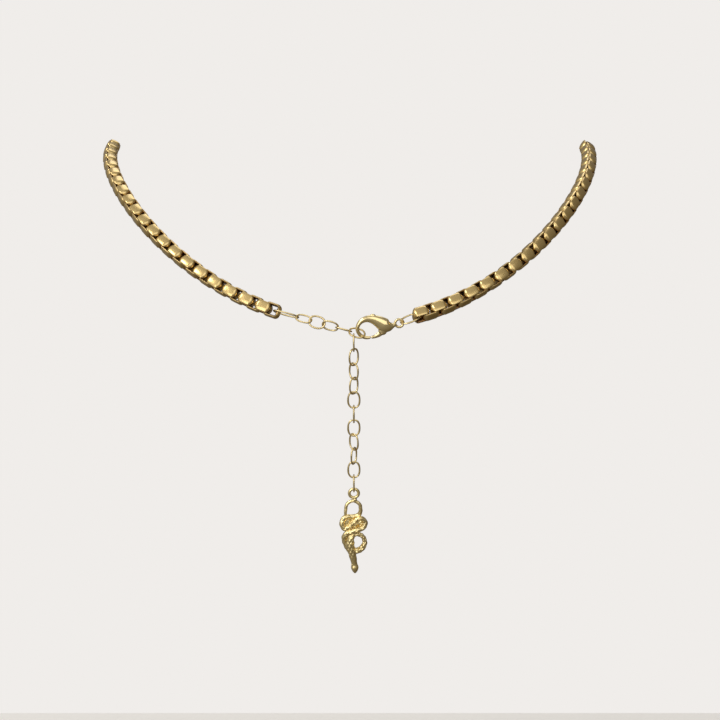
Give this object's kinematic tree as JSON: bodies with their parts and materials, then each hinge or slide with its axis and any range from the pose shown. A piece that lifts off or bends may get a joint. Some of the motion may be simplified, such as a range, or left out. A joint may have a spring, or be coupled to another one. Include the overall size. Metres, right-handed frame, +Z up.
{
  "type": "chain necklace",
  "caption": "Heavy box-chain necklace closed at the nape by a lobster clasp on an oval-link extender whose free end hangs down with a small cast snake charm",
  "frame": {"origin": "centre of the neck opening at the height of the nape of the chain", "axes": "+Z up along the neck, -Y the nape where the clasp and extender are, +Y the throat, +X the clasp half of the chain"},
  "size_m": [0.1376, 0.1373, 0.1015],
  "materials": {
    "gold_chain": "gold-plated brass strip, polished domed faces",
    "gold_clasp": "gold-plated brass casting, highly polished",
    "gold_extender": "gold-plated round brass wire, lightly hammered",
    "gold_charm": "gold-plated casting, fine scale texture, darker in the recesses",
    "spring_steel": "thin bright spring steel"
  },
  "bodies": {
    "chain_front_run": {"chain_front_run": "gold_chain"},
    "chain_right_run_01": {"chain_right_run_01": "gold_chain"},
    "chain_left_run_01": {"chain_left_run_01": "gold_chain"},
    "chain_right_run_02": {"chain_right_run_02": "gold_chain"},
    "chain_left_run_02": {"chain_left_run_02": "gold_chain"},
    "chain_right_run_03": {"chain_right_run_03": "gold_chain"},
    "chain_left_run_03": {"chain_left_run_03": "gold_chain"},
    "chain_right_run_04": {"chain_right_run_04": "gold_chain"},
    "chain_left_run_04": {"chain_left_run_04": "gold_chain"},
    "chain_right_run_05": {"chain_right_run_05": "gold_chain"},
    "chain_left_run_05": {"chain_left_run_05": "gold_chain"},
    "chain_right_run_06": {"chain_right_run_06": "gold_chain"},
    "chain_left_run_06": {"chain_left_run_06": "gold_chain"},
    "chain_right_run_07": {"chain_right_run_07": "gold_chain"},
    "chain_left_run_07": {"chain_left_run_07": "gold_chain"},
    "chain_right_run_08": {"chain_right_run_08": "gold_chain"},
    "chain_left_run_08": {"chain_left_run_08": "gold_chain"},
    "chain_right_run_09": {"chain_right_run_09": "gold_chain"},
    "chain_left_run_09": {"chain_left_run_09": "gold_chain"},
    "chain_right_run_10": {"chain_right_run_10": "gold_chain"},
    "chain_left_run_10": {"chain_left_run_10": "gold_chain"},
    "chain_right_run_11": {"chain_right_run_11": "gold_chain"},
    "chain_left_run_11": {"chain_left_run_11": "gold_chain"},
    "chain_right_run_12": {"chain_right_run_12": "gold_chain"},
    "chain_left_run_12": {"chain_left_run_12": "gold_chain"},
    "chain_right_run_13": {"chain_right_run_13": "gold_chain"},
    "chain_left_run_13": {"chain_left_run_13": "gold_chain"},
    "chain_right_run_14": {"chain_right_run_14": "gold_chain"},
    "chain_left_run_14": {"chain_left_run_14": "gold_chain"},
    "chain_right_run_15": {"chain_right_run_15": "gold_chain"},
    "chain_left_run_15": {"chain_left_run_15": "gold_chain"},
    "chain_right_run_16": {"chain_right_run_16": "gold_chain"},
    "chain_left_run_16": {"chain_left_run_16": "gold_chain"},
    "left_end_ring": {"left_end_ring": "gold_extender"},
    "extender_link_01": {"extender_link_01": "gold_extender"},
    "extender_link_02": {"extender_link_02": "gold_extender"},
    "extender_link_03": {"extender_link_03": "gold_extender"},
    "extender_link_04": {"extender_link_04": "gold_extender"},
    "extender_link_05": {"extender_link_05": "gold_extender"},
    "extender_link_06": {"extender_link_06": "gold_extender"},
    "extender_link_07": {"extender_link_07": "gold_extender"},
    "extender_link_08": {"extender_link_08": "gold_extender"},
    "extender_link_09": {"extender_link_09": "gold_extender"},
    "extender_link_10": {"extender_link_10": "gold_extender"},
    "extender_link_11": {"extender_link_11": "gold_extender"},
    "extender_link_12": {"extender_link_12": "gold_extender"},
    "extender_link_13": {"extender_link_13": "gold_extender"},
    "extender_link_14": {"extender_link_14": "gold_extender"},
    "extender_link_15": {"extender_link_15": "gold_extender"},
    "extender_link_16": {"extender_link_16": "gold_extender"},
    "snake_charm": {"snake_charm": "gold_charm"},
    "right_end_ring": {"right_end_ring": "gold_extender"},
    "clasp_body": {"clasp_body": "gold_clasp", "clasp_pivot_pin": "gold_clasp", "clasp_spring": "spring_steel"},
    "clasp_lever": {"clasp_lever": "gold_clasp"}
  },
  "joints": [
    {"name": "right_run_01_turn", "type": "hinge", "parent": "chain_front_run", "child": "chain_right_run_01", "pos_m": [0.00939, 0.06583, 0.01007], "axis": [0, 0, 1], "range_deg": [-3.1, 3.1]},
    {"name": "loop_spread", "type": "hinge", "parent": "chain_front_run", "child": "chain_left_run_01", "pos_m": [-0.00496, 0.06631, 0.00973], "axis": [0, 0, 1], "range_deg": [-3, 3]},
    {"name": "right_run_02_turn", "type": "hinge", "parent": "chain_right_run_01", "child": "chain_right_run_02", "pos_m": [0.0209, 0.06313, 0.01195], "axis": [0, 0, 1], "range_deg": [-2.6, 2.6]},
    {"name": "left_run_02_turn", "type": "hinge", "parent": "chain_left_run_01", "child": "chain_left_run_02", "pos_m": [-0.0167, 0.06437, 0.0111], "axis": [0, 0, 1], "range_deg": [-2.7, 2.7]},
    {"name": "right_run_03_turn", "type": "hinge", "parent": "chain_right_run_02", "child": "chain_right_run_03", "pos_m": [0.03156, 0.05853, 0.01493], "axis": [0, 0, 1], "range_deg": [-1.8, 1.8]},
    {"name": "left_run_03_turn", "type": "hinge", "parent": "chain_left_run_02", "child": "chain_left_run_03", "pos_m": [-0.02771, 0.06045, 0.01371], "axis": [0, 0, 1], "range_deg": [-2, 2]},
    {"name": "right_run_04_turn", "type": "hinge", "parent": "chain_right_run_03", "child": "chain_right_run_04", "pos_m": [0.0411, 0.05228, 0.01858], "axis": [0, 0, 1], "range_deg": [-1.8, 1.8]},
    {"name": "left_run_04_turn", "type": "hinge", "parent": "chain_left_run_03", "child": "chain_left_run_04", "pos_m": [-0.03769, 0.05479, 0.01717], "axis": [0, 0, 1], "range_deg": [-1.8, 1.8]},
    {"name": "right_run_05_turn", "type": "hinge", "parent": "chain_right_run_04", "child": "chain_right_run_05", "pos_m": [0.04939, 0.04453, 0.02246], "axis": [0, 0, 1], "range_deg": [-1.8, 1.8]},
    {"name": "left_run_05_turn", "type": "hinge", "parent": "chain_left_run_04", "child": "chain_left_run_05", "pos_m": [-0.04646, 0.04758, 0.02102], "axis": [0, 0, 1], "range_deg": [-1.8, 1.8]},
    {"name": "right_run_06_turn", "type": "hinge", "parent": "chain_right_run_05", "child": "chain_right_run_06", "pos_m": [0.05627, 0.03543, 0.02612], "axis": [0, 0, 1], "range_deg": [-1.7, 1.7]},
    {"name": "left_run_06_turn", "type": "hinge", "parent": "chain_left_run_05", "child": "chain_left_run_06", "pos_m": [-0.05388, 0.03897, 0.02481], "axis": [0, 0, 1], "range_deg": [-1.7, 1.7]},
    {"name": "right_run_07_turn", "type": "hinge", "parent": "chain_right_run_06", "child": "chain_right_run_07", "pos_m": [0.06158, 0.02511, 0.02908], "axis": [0, 0, 1], "range_deg": [-2.2, 2.2]},
    {"name": "left_run_07_turn", "type": "hinge", "parent": "chain_left_run_06", "child": "chain_left_run_07", "pos_m": [-0.0598, 0.02908, 0.02809], "axis": [0, 0, 1], "range_deg": [-2, 2]},
    {"name": "right_run_08_turn", "type": "hinge", "parent": "chain_right_run_07", "child": "chain_right_run_08", "pos_m": [0.06506, 0.01379, 0.03087], "axis": [0, 0, 1], "range_deg": [-2.7, 2.7]},
    {"name": "left_run_08_turn", "type": "hinge", "parent": "chain_left_run_07", "child": "chain_left_run_08", "pos_m": [-0.06399, 0.0181, 0.03037], "axis": [0, 0, 1], "range_deg": [-2.6, 2.6]},
    {"name": "right_run_09_turn", "type": "hinge", "parent": "chain_right_run_08", "child": "chain_right_run_09", "pos_m": [0.06647, 0.0019, 0.03112], "axis": [0, 0, 1], "range_deg": [-2.9, 2.9]},
    {"name": "left_run_09_turn", "type": "hinge", "parent": "chain_left_run_08", "child": "chain_left_run_09", "pos_m": [-0.0662, 0.00636, 0.03122], "axis": [0, 0, 1], "range_deg": [-2.9, 2.9]},
    {"name": "right_run_10_turn", "type": "hinge", "parent": "chain_right_run_09", "child": "chain_right_run_10", "pos_m": [0.06575, -0.00997, 0.02969], "axis": [0, 0, 1], "range_deg": [-2.7, 2.7]},
    {"name": "left_run_10_turn", "type": "hinge", "parent": "chain_left_run_09", "child": "chain_left_run_10", "pos_m": [-0.06626, -0.00559, 0.03041], "axis": [0, 0, 1], "range_deg": [-2.7, 2.7]},
    {"name": "right_run_11_turn", "type": "hinge", "parent": "chain_right_run_10", "child": "chain_right_run_11", "pos_m": [0.06301, -0.02126, 0.02679], "axis": [0, 0, 1], "range_deg": [-2.1, 2.1]},
    {"name": "left_run_11_turn", "type": "hinge", "parent": "chain_left_run_10", "child": "chain_left_run_11", "pos_m": [-0.06425, -0.01715, 0.02802], "axis": [0, 0, 1], "range_deg": [-2.2, 2.2]},
    {"name": "right_run_12_turn", "type": "hinge", "parent": "chain_right_run_11", "child": "chain_right_run_12", "pos_m": [0.0585, -0.03162, 0.02279], "axis": [0, 0, 1], "range_deg": [-1.1, 1.1]},
    {"name": "left_run_12_turn", "type": "hinge", "parent": "chain_left_run_11", "child": "chain_left_run_12", "pos_m": [-0.06037, -0.02788, 0.02438], "axis": [0, 0, 1], "range_deg": [-1.3, 1.3]},
    {"name": "right_run_13_turn", "type": "hinge", "parent": "chain_right_run_12", "child": "chain_right_run_13", "pos_m": [0.05246, -0.04087, 0.01815], "axis": [0, 0, 1], "range_deg": [-1, 1]},
    {"name": "left_run_13_turn", "type": "hinge", "parent": "chain_left_run_12", "child": "chain_left_run_13", "pos_m": [-0.05488, -0.03756, 0.01993], "axis": [0, 0, 1], "range_deg": [-1, 1]},
    {"name": "right_run_14_turn", "type": "hinge", "parent": "chain_right_run_13", "child": "chain_right_run_14", "pos_m": [0.04504, -0.04893, 0.01329], "axis": [0, 0, 1], "range_deg": [-2.7, 2.7]},
    {"name": "left_run_14_turn", "type": "hinge", "parent": "chain_left_run_13", "child": "chain_left_run_14", "pos_m": [-0.04796, -0.04607, 0.0151], "axis": [0, 0, 1], "range_deg": [-2.7, 2.7]},
    {"name": "right_run_15_turn", "type": "hinge", "parent": "chain_right_run_14", "child": "chain_right_run_15", "pos_m": [0.03633, -0.0557, 0.0086], "axis": [0, 0, 1], "range_deg": [-2.7, 2.7]},
    {"name": "left_run_15_turn", "type": "hinge", "parent": "chain_left_run_14", "child": "chain_left_run_15", "pos_m": [-0.03972, -0.05334, 0.0103], "axis": [0, 0, 1], "range_deg": [-2.7, 2.7]},
    {"name": "right_run_16_turn", "type": "hinge", "parent": "chain_right_run_15", "child": "chain_right_run_16", "pos_m": [0.0264, -0.06103, 0.00452], "axis": [0, 0, 1], "range_deg": [-3.3, 3.3]},
    {"name": "left_run_16_turn", "type": "hinge", "parent": "chain_left_run_15", "child": "chain_left_run_16", "pos_m": [-0.03024, -0.05923, 0.00594], "axis": [0, 0, 1], "range_deg": [-3.1, 3.1]},
    {"name": "left_end_ring_roll", "type": "hinge", "parent": "chain_left_run_16", "child": "left_end_ring", "pos_m": [-0.0204, -0.06329, 0.0027], "axis": [0.9633, -0.1204, -0.2401], "range_deg": [-15, 15]},
    {"name": "extender_link_01_roll", "type": "hinge", "parent": "left_end_ring", "child": "extender_link_01", "pos_m": [-0.01453, -0.06403, 0.00123], "axis": [-0.9633, 0.1204, 0.2401], "range_deg": [-15, 15]},
    {"name": "extender_link_02_roll", "type": "hinge", "parent": "extender_link_01", "child": "extender_link_02", "pos_m": [-0.0112, -0.06444, 0.0004], "axis": [0.9633, -0.1204, -0.2401], "range_deg": [-15, 15]},
    {"name": "extender_link_03_roll", "type": "hinge", "parent": "extender_link_02", "child": "extender_link_03", "pos_m": [-0.00787, -0.06486, -0.00043], "axis": [-0.9633, 0.1204, 0.2401], "range_deg": [-15, 15]},
    {"name": "extender_link_04_roll", "type": "hinge", "parent": "extender_link_03", "child": "extender_link_04", "pos_m": [-0.00454, -0.06528, -0.00126], "axis": [0.9633, -0.1204, -0.2401], "range_deg": [-15, 15]},
    {"name": "extender_link_05_roll", "type": "hinge", "parent": "extender_link_04", "child": "extender_link_05", "pos_m": [-0.00121, -0.06569, -0.00209], "axis": [-0.9633, 0.1204, 0.2401], "range_deg": [-15, 15]},
    {"name": "extender_link_06_swing", "type": "hinge", "parent": "extender_link_05", "child": "extender_link_06", "pos_m": [-0.00038, -0.06709, -0.00279], "axis": [1, 0, 0], "range_deg": [-22, 22]},
    {"name": "extender_link_07_swing", "type": "hinge", "parent": "extender_link_06", "child": "extender_link_07", "pos_m": [-0.00038, -0.06709, -0.00658], "axis": [0, 1, 0], "range_deg": [-30, 30]},
    {"name": "extender_link_08_swing", "type": "hinge", "parent": "extender_link_07", "child": "extender_link_08", "pos_m": [-0.00038, -0.06709, -0.01037], "axis": [-1, 0, 0], "range_deg": [-30, 30]},
    {"name": "extender_link_09_swing", "type": "hinge", "parent": "extender_link_08", "child": "extender_link_09", "pos_m": [-0.00038, -0.06709, -0.01416], "axis": [0, -1, 0], "range_deg": [-30, 30]},
    {"name": "extender_link_10_swing", "type": "hinge", "parent": "extender_link_09", "child": "extender_link_10", "pos_m": [-0.00038, -0.06709, -0.01795], "axis": [1, 0, 0], "range_deg": [-30, 30]},
    {"name": "extender_link_11_swing", "type": "hinge", "parent": "extender_link_10", "child": "extender_link_11", "pos_m": [-0.00038, -0.06709, -0.02174], "axis": [0, 1, 0], "range_deg": [-30, 30]},
    {"name": "extender_link_12_swing", "type": "hinge", "parent": "extender_link_11", "child": "extender_link_12", "pos_m": [-0.00038, -0.06709, -0.02553], "axis": [-1, 0, 0], "range_deg": [-30, 30]},
    {"name": "extender_link_13_swing", "type": "hinge", "parent": "extender_link_12", "child": "extender_link_13", "pos_m": [-0.00038, -0.06709, -0.02932], "axis": [0, -1, 0], "range_deg": [-30, 30]},
    {"name": "extender_link_14_swing", "type": "hinge", "parent": "extender_link_13", "child": "extender_link_14", "pos_m": [-0.00038, -0.06709, -0.03311], "axis": [1, 0, 0], "range_deg": [-30, 30]},
    {"name": "extender_link_15_swing", "type": "hinge", "parent": "extender_link_14", "child": "extender_link_15", "pos_m": [-0.00038, -0.06709, -0.0369], "axis": [0, 1, 0], "range_deg": [-30, 30]},
    {"name": "extender_link_16_swing", "type": "hinge", "parent": "extender_link_15", "child": "extender_link_16", "pos_m": [-0.00038, -0.06709, -0.04069], "axis": [-1, 0, 0], "range_deg": [-30, 30]},
    {"name": "charm_swing", "type": "hinge", "parent": "extender_link_16", "child": "snake_charm", "pos_m": [-0.00038, -0.06709, -0.04448], "axis": [0, -1, 0], "range_deg": [-30, 30]},
    {"name": "right_end_ring_roll", "type": "hinge", "parent": "chain_right_run_16", "child": "right_end_ring", "pos_m": [0.01634, -0.06446, 0.00173], "axis": [0.9285, 0.148, 0.3405], "range_deg": [-7.5, 15]},
    {"name": "clasp_roll", "type": "hinge", "parent": "right_end_ring", "child": "clasp_body", "pos_m": [0.01108, -0.0653, -0.0002], "axis": [0.9887, 0.0613, 0.1368], "range_deg": [-8, 15]},
    {"name": "lever_press", "type": "hinge", "parent": "clasp_body", "child": "clasp_lever", "pos_m": [0.00667, -0.06557, -0.00258], "axis": [-0.0619, 0.9981, 0], "range_deg": [0, 28], "stiffness_Nm_per_rad": 0.00000015, "springref_deg": -20.05}
  ],
  "couplings": [
    {"joint": "right_run_01_turn", "follows": "loop_spread", "ratio": -1.002},
    {"joint": "right_run_02_turn", "follows": "loop_spread", "ratio": -0.84},
    {"joint": "left_run_02_turn", "follows": "loop_spread", "ratio": 0.866},
    {"joint": "right_run_03_turn", "follows": "loop_spread", "ratio": -0.579},
    {"joint": "left_run_03_turn", "follows": "loop_spread", "ratio": 0.628},
    {"joint": "right_run_04_turn", "follows": "loop_spread", "ratio": -0.586},
    {"joint": "left_run_04_turn", "follows": "loop_spread", "ratio": 0.566},
    {"joint": "right_run_05_turn", "follows": "loop_spread", "ratio": 0.559},
    {"joint": "left_run_05_turn", "follows": "loop_spread", "ratio": -0.56},
    {"joint": "right_run_06_turn", "follows": "loop_spread", "ratio": 0.534},
    {"joint": "left_run_06_turn", "follows": "loop_spread", "ratio": -0.535},
    {"joint": "right_run_07_turn", "follows": "loop_spread", "ratio": 0.695},
    {"joint": "left_run_07_turn", "follows": "loop_spread", "ratio": -0.63},
    {"joint": "right_run_08_turn", "follows": "loop_spread", "ratio": 0.879},
    {"joint": "left_run_08_turn", "follows": "loop_spread", "ratio": -0.833},
    {"joint": "right_run_09_turn", "follows": "loop_spread", "ratio": 0.937},
    {"joint": "left_run_09_turn", "follows": "loop_spread", "ratio": -0.92},
    {"joint": "right_run_10_turn", "follows": "loop_spread", "ratio": 0.858},
    {"joint": "left_run_10_turn", "follows": "loop_spread", "ratio": -0.871},
    {"joint": "right_run_11_turn", "follows": "loop_spread", "ratio": 0.655},
    {"joint": "left_run_11_turn", "follows": "loop_spread", "ratio": -0.694},
    {"joint": "right_run_12_turn", "follows": "loop_spread", "ratio": 0.359},
    {"joint": "left_run_12_turn", "follows": "loop_spread", "ratio": -0.417},
    {"joint": "right_run_13_turn", "follows": "loop_spread", "ratio": 0.326},
    {"joint": "left_run_13_turn", "follows": "loop_spread", "ratio": -0.316},
    {"joint": "right_run_14_turn", "follows": "loop_spread", "ratio": -0.863},
    {"joint": "left_run_14_turn", "follows": "loop_spread", "ratio": 0.855},
    {"joint": "right_run_15_turn", "follows": "loop_spread", "ratio": -0.881},
    {"joint": "left_run_15_turn", "follows": "loop_spread", "ratio": 0.876},
    {"joint": "right_run_16_turn", "follows": "loop_spread", "ratio": -1.052},
    {"joint": "left_run_16_turn", "follows": "loop_spread", "ratio": 0.985}
  ]
}
